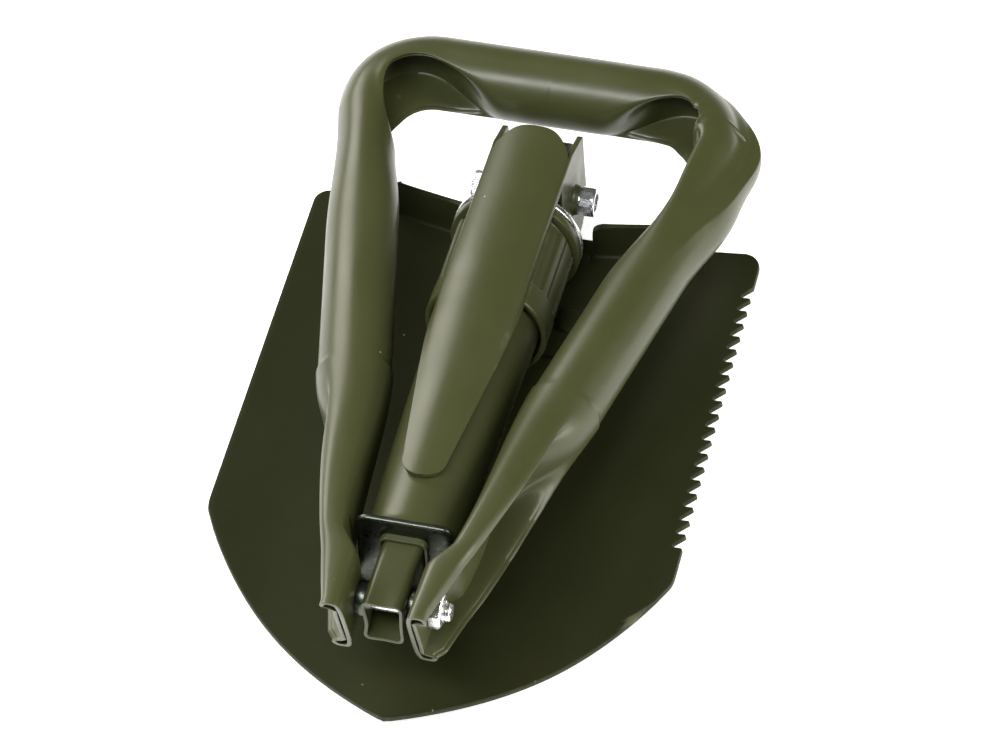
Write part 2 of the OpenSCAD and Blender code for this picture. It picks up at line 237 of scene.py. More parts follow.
def build(name, mesh, material, body, nodes=(), sharp=38.0):
    """Makes the Blender object, in metres, and ties it to its body and the CAD nodes that it stands for."""
    data = bpy.data.meshes.new(name)
    data.from_pydata([tuple(v * MM for v in p) for p in mesh.points], [], mesh.faces)
    bm = bmesh.new()
    bm.from_mesh(data)
    bmesh.ops.remove_doubles(bm, verts=bm.verts, dist=2e-6)
    bmesh.ops.dissolve_degenerate(bm, dist=1e-7, edges=bm.edges)
    bmesh.ops.recalc_face_normals(bm, faces=bm.faces)
    bm.to_mesh(data)
    bm.free()
    data.polygons.foreach_set("use_smooth", [True] * len(data.polygons))
    data.set_sharp_from_angle(angle=math.radians(sharp))
    data.materials.append(material)
    piece = add_to_scene(name, data)
    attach(piece, body)
    if nodes:
        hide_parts(*nodes)
    return piece


def turned(profile, steps, place, radius=None):
    """Rows of a turned solid: profile lists (place on the axis, radius); radius() may vary it by angle."""
    angles = np.arange(steps) * 2 * math.pi / steps
    rows = []
    for along, r in profile:
        reach = np.full(steps, float(r)) if radius is None else radius(angles, along, r)
        rows.append(place(reach * np.cos(angles), reach * np.sin(angles), along))
    return np.array(rows)


def along_x(centre):
    """Places turned points round an axis along X through centre."""
    def place(a, b, x):
        a = np.asarray(a, float)
        return np.stack([np.full_like(a, centre[0] + x), centre[1] + a, centre[2] + b], axis=-1)
    return place


def along_z(centre):
    """Places turned points round a vertical axis through centre."""
    def place(a, b, z):
        a = np.asarray(a, float)
        return np.stack([centre[0] + a, centre[1] + b, np.full_like(a, centre[2] + z)], axis=-1)
    return place


# ---------- Materials ----------

def set_inputs(node, values):
    for name, value in values.items():
        node.inputs[name].default_value = value


def node_material(name):
    """A new material with its tree, its shader and the object's own coordinates."""
    material = bpy.data.materials.new(name)
    material.use_nodes = True
    tree = material.node_tree
    coords = tree.nodes.new("ShaderNodeTexCoord").outputs["Object"]
    return material, tree, tree.nodes["Principled BSDF"], coords


def noise(tree, coords, scale, detail=3.0, rough=0.55, stretch=(1, 1, 1)):
    mapping = tree.nodes.new("ShaderNodeMapping")
    set_inputs(mapping, {"Scale": stretch})
    tree.links.new(coords, mapping.inputs["Vector"])
    node = tree.nodes.new("ShaderNodeTexNoise")
    set_inputs(node, {"Scale": scale, "Detail": detail, "Roughness": rough})
    tree.links.new(mapping.outputs["Vector"], node.inputs["Vector"])
    return node.outputs["Fac"]


def ramp(tree, value, stops):
    """Maps a value through stops [(position, level), ...], where a level is a number or a colour."""
    node = tree.nodes.new("ShaderNodeValToRGB")
    elements = node.color_ramp.elements
    while len(elements) < len(stops):
        elements.new(0.5)
    for e, (pos, level) in zip(elements, stops):
        e.position = pos
        e.color = (level, level, level, 1) if np.isscalar(level) else (*level, 1)
    tree.links.new(value, node.inputs["Fac"])
    return node.outputs["Color"]


def blend_colors(tree, factor, a, b, mode="MIX"):
    node = tree.nodes.new("ShaderNodeMix")
    node.data_type = "RGBA"
    node.blend_type = mode
    factor_socket, a_socket, b_socket = node.inputs[0], node.inputs[6], node.inputs[7]
    for socket, value in ((factor_socket, factor), (a_socket, a), (b_socket, b)):
        if isinstance(value, bpy.types.NodeSocket):
            tree.links.new(value, socket)
        elif socket == factor_socket:
            socket.default_value = value
        else:
            socket.default_value = (*value, 1)
    return node.outputs[2]


def bump(tree, height, strength, distance, chained=None):
    node = tree.nodes.new("ShaderNodeBump")
    set_inputs(node, {"Strength": strength, "Distance": distance})
    tree.links.new(height, node.inputs["Height"])
    if chained is not None:
        tree.links.new(chained, node.inputs["Normal"])
    return node.outputs["Normal"]


DUST = (0.36, 0.36, 0.27)
# pale colour of the painted highlight on the edges
EDGE_HIGHLIGHT_COLOR = (0.30, 0.30, 0.20)


def paint(name, base, light, rough, edge_highlight_level, gloss):
    """Semi-gloss enamel: slow colour drift, orange peel, dust specks, and a painted highlight that lightens
    the edges.
    """
    material, tree, shader, coords = node_material(name)
    geometry = tree.nodes.new("ShaderNodeNewGeometry")
    drift = noise(tree, coords, 28, 4, 0.6)
    color = blend_colors(tree, ramp(tree, drift, [(0.3, 0.0), (0.72, 1.0)]), base, light)
    grain = noise(tree, coords, 1700, 2, 0.6)
    color = blend_colors(tree, ramp(tree, grain, [(0.35, 0.0), (0.75, 0.28)]), color, light)
    specks = tree.nodes.new("ShaderNodeTexVoronoi")
    set_inputs(specks, {"Scale": 130, "Randomness": 1.0})
    tree.links.new(coords, specks.inputs["Vector"])
    dust_size = ramp(tree, specks.outputs["Distance"], [(0.0, 1.0), (0.035, 0.75), (0.055, 0.0)])
    dust_pick = ramp(tree, noise(tree, coords, 60, 1, 0.5), [(0.60, 0.0), (0.68, 1.0)])
    dust = blend_colors(tree, 1.0, dust_size, dust_pick, "MULTIPLY")
    color = blend_colors(tree, dust, color, DUST)
    # painted highlight: convex edges, found by pointiness, are lightened towards a pale colour, broken up by
    # noise patches
    edge_highlight = ramp(tree, geometry.outputs["Pointiness"], [(0.53, 0.0), (0.60, edge_highlight_level)])
    patches = ramp(tree, noise(tree, coords, 220, 3, 0.6), [(0.38, 0.25), (0.62, 1.0)])
    edge_highlight = blend_colors(tree, 1.0, edge_highlight, patches, "MULTIPLY")
    color = blend_colors(tree, edge_highlight, color, EDGE_HIGHLIGHT_COLOR)
    tree.links.new(color, shader.inputs["Base Color"])
    smears = noise(tree, coords, 45, 5, 0.62, (1.0, 0.4, 1.0))
    uneven = ramp(tree, smears, [(0.3, rough - 0.06), (0.72, rough + 0.09)])
    tree.links.new(uneven, shader.inputs["Roughness"])
    set_inputs(shader, {"Specular IOR Level": gloss, "Coat Weight": 0.24 * gloss, "Coat Roughness": 0.2})
    peel = bump(tree, noise(tree, coords, 420, 2, 0.5), 0.10, 0.0004)
    fine = bump(tree, grain, 0.10, 0.00008, peel)
    tree.links.new(fine, shader.inputs["Normal"])
    return material


def plated_zinc(name, tint=(0.78, 0.80, 0.81), rough=0.24):
    """Zinc plate: faint dark and straw patches, and fine rubbing marks."""
    material, tree, shader, coords = node_material(name)
    tints = noise(tree, coords, 130, 3, 0.6)
    patches = ramp(tree, tints, [(0.35, 0.0), (0.7, 1.0)])
    color = blend_colors(tree, patches, tint, tuple(0.95 * v for v in tint))
    straw = ramp(tree, noise(tree, coords, 90, 2, 0.5), [(0.55, 0.0), (0.75, 0.5)])
    color = blend_colors(tree, straw, color, (tint[0], 0.95 * tint[1], 0.82 * tint[2]))
    marks = noise(tree, coords, 500, 4, 0.7, (1.0, 6.0, 1.0))
    rubbed = ramp(tree, marks, [(0.62, 0.0), (0.8, 0.25)])
    color = blend_colors(tree, rubbed, color, tuple(0.5 * v for v in tint))
    tree.links.new(color, shader.inputs["Base Color"])
    set_inputs(shader, {"Metallic": 1.0})
    uneven = ramp(tree, marks, [(0.3, rough - 0.06), (0.75, rough + 0.16)])
    tree.links.new(uneven, shader.inputs["Roughness"])
    tree.links.new(bump(tree, marks, 0.12, 0.0001), shader.inputs["Normal"])
    return material


OLIVE = paint("olive_paint", (0.039, 0.0435, 0.0135), (0.0465, 0.0515, 0.018), 0.36, 0.12, 0.36)
# darker olive for the blade and its fittings; part of this darkness is painted shade of the blade lying low
# under the handle
DARK = paint("blade_paint", (0.0155, 0.018, 0.0062), (0.0195, 0.022, 0.0078), 0.5, 0.25, 0.10)
ZINC = plated_zinc("zinc_plate")
# a darkened copy of the zinc, as painted shade, for zinc parts that lie in shadow
ZINC_PAINTED_SHADE = plated_zinc("zinc_in_shade", (0.09, 0.10, 0.085), 0.30)


# ---------- Blade ----------

BLADE_L = 201.0
HALF_W = 76.0
TIP_Y = node_box("blade_plate")[0][1]
SHEET = 2.0
DISH_R = 360.0               # radius of the curved sides and tip
FLAT_HALF = 16.0             # half width of the flat middle band
TIP_FLAT = 60.0              # the tip curves up below this y
NOSE_R = 141.0               # the pointed end is two arcs of this radius
NOSE_X = 49.0                # distance of their centres beyond the middle
NOSE_Y = math.sqrt(NOSE_R ** 2 - NOSE_X ** 2)
SHOULDER_Y = NOSE_Y - math.sqrt(NOSE_R ** 2 - (HALF_W + NOSE_X) ** 2)
NOTCH_X, NOTCH_Y = 13.4, 181.0
LIP_IN, LIP_OUT, RELIEF = 19.8, 49.0, 51.0
LIP_FOOT, LIP_MID, LIP_TURN, LIP_LEAN = 196.3, 25.0, math.radians(8), math.radians(8)
LIP_BEND_R = 3.4
LIP_TOP = 14.6
LIP_CORNER = 3.0
TOOTH_TOP, TOOTH_PITCH, TEETH = 187.35, 5.35, 22
# one tooth gap: distance below the tooth's tip, and depth of the cut
GAP = [(0.0, 0.0), (0.55, 0.0), (1.5, 1.05), (2.5, 2.15), (3.25, 2.95), (3.75, 3.3), (4.15, 3.4), (4.55, 3.3),
       (4.82, 2.9), (4.97, 0.3)]
TOOTH_ROWS_FROM = 70.0       # the columns outside this x follow the teeth
CORNER_R = 6.0


def dish(d):
    d = np.maximum(d, 0.0)
    return DISH_R - np.sqrt(DISH_R ** 2 - d ** 2)


def blade_under(x, y):
    """Height of the blade's underside: the sides and the tip curve up."""
    return np.hypot(dish(np.abs(x) - FLAT_HALF), dish(TIP_FLAT - y))


def nose_half(y):
    """Half width of the pointed end, with its shoulder rounded."""
    arc = math.sqrt(max(NOSE_R ** 2 - (y - NOSE_Y) ** 2, 0.0)) - NOSE_X
    if arc >= HALF_W + 8:
        return HALF_W
    soft = 0.55
    return -soft * math.log(math.exp(-arc / soft) + math.exp(-HALF_W / soft))


def tooth_rows():
    """Rows of the blade's grid along the teeth: height on the blade and depth of cut."""
    rows = []
    for i in range(TEETH):
        rows += [(TOOTH_TOP - i * TOOTH_PITCH - down, cut) for down, cut in GAP]
    return rows


def blade_x(base, y, cut):
    """Moves a column of the plain grid to the outline at y."""
    if y < SHOULDER_Y + 12:
        return base * nose_half(y) / HALF_W
    reach = band = HALF_W - TOOTH_ROWS_FROM
    if y > BLADE_L - CORNER_R:
        over = y - (BLADE_L - CORNER_R)
        reach = math.sqrt(max(CORNER_R ** 2 - over ** 2, 0.0))
    right, left = (reach - cut) / band, reach / band
    x = np.where(base > TOOTH_ROWS_FROM, TOOTH_ROWS_FROM + (base - TOOTH_ROWS_FROM) * right, base)
    return np.where(base < -TOOTH_ROWS_FROM, -TOOTH_ROWS_FROM + (base + TOOTH_ROWS_FROM) * left, x)


def blade_patch(sheet, columns, rows):
    points = []
    for y, cut in rows:
        x = blade_x(columns, y, cut)
        points.append(np.stack([x, np.full_like(x, y), blade_under(x, y)], axis=-1))
    sheet.add_grid(np.array(points))


def lip_patch(sheet, side, columns, rows):
    """The flat strip behind a lip, its bend and the standing lip."""
    foot = LIP_FOOT + (columns - LIP_MID) * math.tan(LIP_TURN)
    start = foot - LIP_BEND_R
    points = []
    for y, _ in rows:
        points.append((columns, np.full_like(columns, y), blade_under(columns, np.full_like(columns, y))))
    base = blade_under(columns, start)
    for t in (0.35, 0.7):
        y = mix(rows[-1][0], start, t)
        points.append((columns, y, blade_under(columns, y)))
    turn_end = math.pi / 2 - LIP_LEAN
    for k in range(7):
        a = turn_end * k / 6
        points.append((columns, start + LIP_BEND_R * math.sin(a), base + LIP_BEND_R * (1 - math.cos(a))))
    low_y, low_z = points[-1][1], points[-1][2]
    top = base + LIP_TOP
    middle = (LIP_IN + LIP_OUT) / 2
    half = (LIP_OUT - LIP_IN) / 2
    for t in (0.25, 0.5, 0.7, 0.8, 0.88, 0.94, 0.98, 1.0):
        z = mix(low_z, top, t)
        over = np.clip((z - (top - LIP_CORNER)) / LIP_CORNER, 0, 1)
        pull = LIP_CORNER * (1 - np.sqrt(1 - over ** 2))
        share = np.clip((np.abs(columns - middle) - (half - LIP_CORNER)) / LIP_CORNER, 0, 1)
        x = columns - np.sign(columns - middle) * pull * share
        points.append((x, low_y + (z - low_z) * math.tan(LIP_LEAN), z))
    grid = np.array([np.stack([side * x, y, z], axis=-1) for x, y, z in points])
    sheet.add_grid(grid, flip=side < 0)


def make_blade():
    """The blade's sheet, from patches that share edges: nose and teeth, bands by the notch, both lips."""
    half = np.array([0, 4, 8, NOTCH_X, 16.5, LIP_IN, 23, 27, 31, 35, 39, 43, 46.5, LIP_OUT, RELIEF,
                     55, 59, 63, 67, TOOTH_ROWS_FROM, 72, 74, HALF_W], float)
    whole = np.concatenate([-half[:0:-1], half])
    teeth = tooth_rows()
    lowest_tooth = teeth[-1][0]
    nose_steps = 34
    nose_x = [(k / nose_steps) * (HALF_W - 2.0) + NOSE_X for k in range(nose_steps)]
    nose = [(NOSE_Y - math.sqrt(NOSE_R ** 2 - x ** 2), 0.0) for x in nose_x]
    nose += [(y, 0.0) for y in np.linspace(SHOULDER_Y - 1.2, lowest_tooth - 0.4, 8)]
    # the row at the notch's bottom lies in a tooth gap: its cut is read from the gap's shape
    down = (TOOTH_TOP - NOTCH_Y) % TOOTH_PITCH
    cut = float(np.interp(down, [g[0] for g in GAP], [g[1] for g in GAP]))
    lower = nose + sorted([r for r in teeth if r[0] < NOTCH_Y]) + [(NOTCH_Y, cut)]
    shared = [(NOTCH_Y, cut)] + sorted([r for r in teeth if r[0] > NOTCH_Y]) + [(188.4, 0.0), (190.0, 0.0)]
    beside_notch = (192.0, 194.0, 196.0, 198.0, 199.2, 200.0)
    beside_lip = (192.5, 194.8, 196.8)
    outside = (192.0, 193.6, 195.0, 196.2, 197.4, 198.5, 199.4, 200.1, 200.6, 200.9, BLADE_L)
    bands = [(NOTCH_X, LIP_IN, beside_notch), (LIP_OUT, RELIEF, beside_lip), (RELIEF, HALF_W, outside)]

    def columns(a, b):
        return half[(half >= a - 1e-6) & (half <= b + 1e-6)]

    sheet = Mesh()
    blade_patch(sheet, whole, lower)
    for side in (-1, 1):
        for a, b, rows in bands:
            c = columns(a, b)
            blade_patch(sheet, c if side > 0 else -c[::-1], shared + [(y, 0.0) for y in rows])
        lip_patch(sheet, side, columns(LIP_IN, LIP_OUT), shared)
    solid = thicken(sheet, SHEET, 0.28)
    solid.points = [(x, y + TIP_Y, z) for x, y, z in solid.points]
    build("blade", solid, DARK, "blade", ["blade_plate"], sharp=42)


def make_rivets():
    """Domed rivet heads, with their closed ends flush under the blade."""
    _, high = node_box("bracket_rivets")
    spots = [(20.1, 163.5), (-20.1, 163.5), (9.0, 155.0), (-9.0, 155.0)]
    plate_top = 4.0
    head_r, head_h, rim, shank_r = 4.9, high[2] - plate_top, 0.45, 2.5
    dome = [(0.0, head_r - 0.15), (rim * 0.4, head_r)]
    for k in range(12):
        a = math.pi / 2 * (k / 12)
        dome.append((rim + (head_h - rim) * math.sin(a), head_r * math.cos(a) ** 0.8 * 0.98 + 0.02))
    shank = [(-plate_top + 0.4, shank_r - 0.4), (-plate_top + 0.45, shank_r), (0.0, shank_r), dome[0]]
    mesh = Mesh()
    for x, y in spots:
        place = along_z((x, TIP_Y + y, plate_top))
        rings = turned(dome, 40, place)
        mesh.add_grid(rings, wrap=True)
        mesh.add_fan(rings[-1])
        tail = turned(shank, 40, place)
        mesh.add_grid(tail, wrap=True)
        mesh.add_fan(tail[0], flip=True)
    build("rivet_heads", mesh, DARK, "blade", ["bracket_rivets"])


# ---------- Brace channel ----------

CROWN_R = 24.0
CHANNEL_T = 1.8
CROWN_ANGLE = math.radians(30.5)
CROWN_SHARE = 0.7                    # share of a section's columns that lie on the crown
BEND_R = 2.6                         # bend between the crown and the side wall
TONGUE_S, TONGUE_END, TONGUE_X = 66.0, 142.4, 7.4
TONGUE_ARC_S = TONGUE_END - TONGUE_X # station where the tongue's round end starts
TONGUE_LOW_R = 17.0
WALL_BACK = 14.0
WALL_X = 13.0
WALL_LOW_H = -22.8
CROWN_FRONT, NOTCH_S = -7.4, 1.6
STRIP = BEND_R * (math.pi / 2 - CROWN_ANGLE) + 1.5
# front and rear edges of the side walls: (height, station)
WALL_FRONT = [(WALL_LOW_H, -9.0), (-21.6, -12.4), (-19.5, -14.4), (-16.0, -16.2), (-12.7, -17.4),
              (12.6, -15.2), (14.4, -14.8), (15.4, -13.6), (16.0, -11.6), (20.4, NOTCH_S)]
WALL_REAR = [(WALL_LOW_H, -6.5), (-21.4, -2.5), (-10.0, 12.6), (-8.0, 13.8), (30.0, WALL_BACK)]


def channel_section(c, s):
    """Point of the outer surface: c from 0 at the crown's middle to 1 at the strip's edge."""
    taper = smooth((s - TONGUE_S + 6) / 12) * (s - TONGUE_S) / (TONGUE_ARC_S - TONGUE_S)
    full = CROWN_R * CROWN_ANGLE + STRIP
    width = mix(full, TONGUE_X, np.clip(taper, 0, 1))
    past = s - TONGUE_ARC_S
    if past > 0:
        width = TONGUE_X * math.sqrt(max(1 - (past / TONGUE_X) ** 2, 0.0))
    fold = float(1 - smooth((s - 52) / 45))
    strip = mix(0.16 * width, STRIP, fold)
    crown = width - strip
    radius = CROWN_R - (CROWN_R - TONGUE_LOW_R) * np.clip((s - TONGUE_S) / (TONGUE_END + 2 - TONGUE_S), 0, 1)
    radius = radius - 0.6 * math.exp(-((s - TONGUE_S) / 9) ** 2)
    angle = crown * min(c, CROWN_SHARE) / CROWN_SHARE / radius
    x, h = radius * math.sin(angle), radius * math.cos(angle)
    if c > CROWN_SHARE:
        run = strip * (c - CROWN_SHARE) / (1 - CROWN_SHARE)
        turn = min(run / BEND_R, (math.pi / 2 - angle) * fold)
        if turn > 1e-6:
            # the direction of travel is (cos, -sin) of the surface's slope, which grows along the bend
            steps = 8
            for k in range(steps):
                slope = angle + turn * (k + 0.5) / steps
                piece = BEND_R * turn / steps
                x += piece * math.cos(slope)
                h -= piece * math.sin(slope)
        left = run - BEND_R * turn
        slope = angle + turn
        x += left * math.cos(slope)
        h -= left * math.sin(slope)
    return x, h


def station_at(edge, h):
    """Station of a side wall's edge at height h."""
    return float(np.interp(h, [p[0] for p in edge], [p[1] for p in edge]))


def crown_front(c):
    """Station of the channel's front edge: an arch over the crown, then the V-cut and the wall's own edge."""
    _, h = channel_section(c, 0.0)
    if c <= CROWN_SHARE:
        _, corner = channel_section(CROWN_SHARE, 0.0)
        rise = float(smooth(0.3 + 0.7 * (h - corner) / (CROWN_R - corner)))
        return NOTCH_S + (CROWN_FRONT - NOTCH_S) * rise
    return station_at(WALL_FRONT, h)


def boss_bulge(s, h):
    """Soft swelling of the wall round the pivot, under the boss."""
    return 0.5 * (1 - smooth((np.hypot(s, h) - 6.0) / 4.0))


def make_channel():
    """Brace channel: a crown that ends in a tongue, two side walls, and bosses round the pivot."""
    columns = np.concatenate([np.linspace(0, CROWN_SHARE, 15), np.linspace(CROWN_SHARE, 1.0, 11)[1:]])
    shares = np.linspace(0, 1, 24)
    sheet = Mesh()
    front_s = [crown_front(c) for c in columns]
    tail = list(np.linspace(WALL_BACK, TONGUE_ARC_S, 46)[1:])
    tail += [TONGUE_ARC_S + TONGUE_X * math.sin(math.pi / 2 * k / 12) for k in range(1, 13)]

    def crown_row(side, stations):
        """One row over half the crown, with a station for each column."""
        places = [channel_section(c, min(s, TONGUE_END - 1e-4)) for c, s in zip(columns, stations)]
        return [shaft_point(side * x, h, s) for (x, h), s in zip(places, stations)]

    for side in (-1, 1):
        rows = [crown_row(side, [mix(s, WALL_BACK, v) for s in front_s]) for v in shares]
        rows += [crown_row(side, [s] * len(columns)) for s in tail]
        sheet.add_grid(np.array(rows), flip=side < 0)
        x_wall, h_top = channel_section(1.0, 0.0)
        heights = np.concatenate([[h_top], np.linspace(h_top - 0.7, WALL_LOW_H, 44)])
        wall = []
        for h in heights:
            front, rear = station_at(WALL_FRONT, h), station_at(WALL_REAR, h)
            if h == h_top:
                front, rear = crown_front(1.0), WALL_BACK
            s = mix(front, rear, shares)
            wall.append(shaft_point(side * (x_wall + boss_bulge(s, h)), h, s))
        sheet.add_grid(np.array(wall).transpose(1, 0, 2), flip=side < 0)
    solid = thicken(sheet, CHANNEL_T, 0.3)
    # pressed bosses round the pivot bolt
    boss = [(-1.2, 7.2), (0.1, 6.9), (0.7, 5.9), (1.2, 5.3), (2.1, 4.95), (2.5, 4.85), (2.7, 4.6), (2.7, 3.2)]
    for side in (-1, 1):
        start = len(solid.points)
        rings = turned([(side * (WALL_X + a), r) for a, r in boss], 48, along_x((0, PIVOT[1], PIVOT[2])))
        solid.points += [tuple(p) for p in rings.reshape(-1, 3)]
        solid.faces += grid_faces(len(boss), 48, True, start)
    build("brace_sheet", solid, OLIVE, "shaft", ["brace_channel"], sharp=42)


# ---------- Tubes, plate and lock ----------

def make_inner_tube():
    """Rectangular tube with rolled ends; its free end is slightly pinched on one side."""
    low_s, high_s = -9.0, 188.7
    outer = rounded_rect(13.0, 17.0, 2.4, 8, 8)
    inner = rounded_rect(11.0, 15.0, 1.5, 8, 8)
    stations = [low_s + 0.35, low_s + 0.9] + list(np.linspace(low_s + 4, high_s - 14, 14))
    stations += list(np.linspace(high_s - 12, high_s - 0.9, 12)) + [high_s - 0.35]

    def ring(loop, s):
        near = smooth((s - (high_s - 13)) / 13)
        x, h = loop[:, 0].copy(), loop[:, 1]
        pinch = np.exp(-((h + 1.5) / 5.0) ** 2) * 0.9 * near
        x = np.where(x < 0, x + pinch, x - 0.25 * pinch)
        sag = -0.35 * near * np.exp(-(x / 4.0) ** 2) * np.sign(h)
        return shaft_point(x, h + sag, s)

    mesh = Mesh()
    rows = [ring((outer + inner) / 2, low_s)] + [ring(outer, s) for s in stations]
    rows += [ring(outer * 0.985 + inner * 0.015, high_s - 0.08), ring((outer + inner) / 2, high_s)]
    rows += [ring(inner, s) for s in [high_s - 0.3] + stations[::-1]] + [ring((outer + inner) / 2, low_s)]
    mesh.add_grid(np.array(rows), wrap=True)
    build("inner_tube_skin", mesh, OLIVE, "shaft", ["inner_tube"], sharp=50)


def make_outer_tube():
    """Tapered round tube with a rolled lower rim."""
    top, low, s0, s1, wall = 17.0, 14.4, 58.0, 159.5, 1.6
    profile = [(s0 + 0.3, top - wall), (s0, top - wall + 0.4), (s0, top - 0.4), (s0 + 0.3, top)]
    profile += [(s, mix(top, low, (s - s0) / (s1 - s0))) for s in np.linspace(s0 + 1, s1 - 4, 22)]
    profile += [(s1 - 2.6, low + 0.02), (s1 - 1.2, low + 0.15), (s1 - 0.15, low + 0.5), (s1, low + 0.3)]
    profile += [(s1, low - wall), (s0 + 1, top - wall)]
    mesh = Mesh().add_grid(turned(profile, 120, shaft_point), wrap=True)
    build("outer_tube_skin", mesh, OLIVE, "sleeve", ["outer_tube"], sharp=50)


def loops_on_shaft(rows):
    """Rows of points from closed loops, each with its station on the shaft."""
    return np.array([shaft_point(loop[:, 0], loop[:, 1], s) for loop, s in rows])


def make_end_plate():
    """Stamped square plate with softly rolled edges, and the painted socket that stands out below it."""
    s0, s1, half_side = 159.5, 161.5, 15.3
    outer = rounded_rect(2 * half_side, 2 * half_side, 3.6, 10, 10)
    hole = rounded_rect(13.6, 17.6, 2.4, 10, 10)
    rolled = [(0.35, s0), (0.0, s0 + 0.4), (0.0, s1 - 0.7), (0.25, s1 - 0.2), (0.8, s1), (2.5, s1)]
    rows = [(outer * (1 - inset / half_side), s) for inset, s in rolled]
    first, last = rows[0][0], rows[-1][0]
    rows += [(mix(last, hole, t), s1) for t in (0.35, 0.7, 1.0)] + [(hole, s0)]
    rows += [(mix(hole, first, t), s0) for t in (0.35, 0.7, 1.0)]
    mesh = Mesh().add_grid(loops_on_shaft(rows), wrap=True)
    # the plate gets the darkened zinc, as painted shade on its face
    build("end_plate_skin", mesh, ZINC_PAINTED_SHADE, "sleeve", ["end_plate"], sharp=50)

    socket_out = rounded_rect(15.4, 19.4, 3.0, 8, 6)
    socket_in = rounded_rect(13.5, 17.5, 2.2, 8, 6)
    tip = s1 + 2.2
    rows = [(socket_out, s1 - 0.5), (socket_out, tip - 0.4), (socket_out * 0.985, tip - 0.1),
            (socket_in * 1.02, tip), (socket_in, tip - 0.25), (socket_in, s1 - 0.5)]
    mesh = Mesh().add_grid(loops_on_shaft(rows), wrap=True)
    build("socket_rim", mesh, OLIVE, "sleeve", sharp=50)


def make_pressure_ring():
    """Flat ring with rounded edges, between s0 and s1 on the shaft."""
    s0, s1, ro, ri = 19.5, 21.8, 21.6, 11.6
    profile = [(s0, ri + 0.5), (s0, ro - 0.5), (s0 + 0.15, ro - 0.15), (s0 + 0.5, ro), (s1 - 0.5, ro)]
    profile += [(s1 - 0.15, ro - 0.15), (s1, ro - 0.5), (s1, ri + 0.5), (s1 - 0.5, ri)]
    profile += [(s0 + 0.5, ri), (s0, ri + 0.5)]
    mesh = Mesh().add_grid(turned(profile, 128, shaft_point), wrap=True)
    build("pressure_ring_skin", mesh, ZINC, "lock_ring", ["pressure_ring"], sharp=50)


RIBS = 12
COLLAR_R = 20.0


def collar_radius(angles, s, r):
    """Cuts the grip: by each rib a pair of narrow grooves with round ends, and a shallow flat between."""
    if not 27.0 <= s <= 56.0 or r < COLLAR_R - 0.5:
        return np.full(len(angles), float(r))
    pitch = 2 * math.pi / RIBS
    offset = (angles + pitch / 2) % pitch - pitch / 2
    across = np.abs(offset) * COLLAR_R
    groove_at, groove_half, groove_end = 2.0, 0.62, 52.6
    past = max(s - groove_end, 0.0)
    reach = np.hypot(across - groove_at, past)
    groove = 0.8 * (1 - smooth((reach - groove_half + 0.3) / 0.5))
    flat = 0.42 * smooth((across - groove_at) / 0.5) * float(smooth((54.2 - s) / 0.7))
    return r - np.maximum(groove, flat)


def make_collar():
    """Ribbed lock collar: a flange, a dark groove behind it, the grip and a rounded rear rim."""
    stations = [27.05, 27.4] + list(np.linspace(28.2, 51.6, 14))
    stations += list(np.linspace(51.9, 54.4, 16)) + [55.5, 58, 61]
    profile = [(22.0, 17.0), (22.0, 20.9), (22.15, 21.3), (22.5, 21.5), (24.9, 21.5), (25.3, 21.35)]
    profile += [(25.5, 20.9), (25.6, 18.9), (25.9, 18.75), (26.8, 18.75), (27.0, 18.9)]
    profile += [(27.0, COLLAR_R - 0.45)]
    profile += [(s, COLLAR_R) for s in stations]
    profile += [(62.6, COLLAR_R), (63.1, COLLAR_R - 0.12), (63.45, COLLAR_R - 0.5), (63.5, 18.9)]
    profile += [(63.3, 18.3), (62.8, 18.1), (56.5, 18.1), (56.0, 17.0), (22.0, 17.0)]
    mesh = Mesh().add_grid(turned(profile, 480, shaft_point, collar_radius), wrap=True)
    build("lock_collar_skin", mesh, OLIVE, "collar", ["lock_collar"], sharp=40)


# ---------- Fasteners ----------

def hexagon(angles, across_flats):
    """Distance from a hexagon's centre to its sides at each angle."""
    turn = (angles + math.pi / 6) % (math.pi / 3) - math.pi / 6
    return across_flats / 2 / np.cos(turn)


def hex_socket(across_flats, mouth_r):
    """Radius function for a hexagon socket that only cuts inside mouth_r."""
    def radius(angles, _, r):
        inside = np.minimum(hexagon(angles, across_flats), r)
        return inside if r < mouth_r else np.full(len(angles), float(r))
    return radius


def make_nut(name, centre, x0, x1, body, node, stub):
    """Chamfered hexagon nut on a threaded end that stands out by stub."""
    across_flats, corner = 10.0, 5.72
    profile = [(x0, 3.2), (x0, 4.8), (x0 + 0.3, 5.35), (x0 + 0.8, corner), (x1 - 1.0, corner)]
    profile += [(x1 - 0.45, 5.3), (x1 - 0.08, 4.75), (x1, 4.4), (x1, 3.75), (x1 - 0.3, 3.35)]
    profile += [(x1 - 0.9, 3.15), (x0, 3.2)]
    pitch, depth = 1.0, 0.42
    end = x1 + stub

    def sides(angles, _, r):
        return np.minimum(hexagon(angles, across_flats), r)

    def thread(angles, x, r):
        phase = (x / pitch - angles / (2 * math.pi)) % 1.0
        ridge = 1 - np.abs(2 * phase - 1)
        return np.full(len(angles), float(r)) - depth * (1 - smooth(ridge * 1.3)) * (r > 2.7)

    steps = max(int((end - x0) / 0.11), 4)
    screw = [(x, 3.0 - 0.5 * max(0.0, x - (end - 0.6)) / 0.6) for x in np.linspace(x0, end, steps)]
    mesh = Mesh().add_grid(turned(profile, 144, along_x(centre), sides), wrap=True)
    rings = turned(screw, 64, along_x(centre), thread)
    mesh.add_grid(rings, wrap=True)
    mesh.add_fan(rings[-1])
    mesh.add_fan(rings[0], flip=True)
    build(name, mesh, ZINC, body, [node], sharp=30)


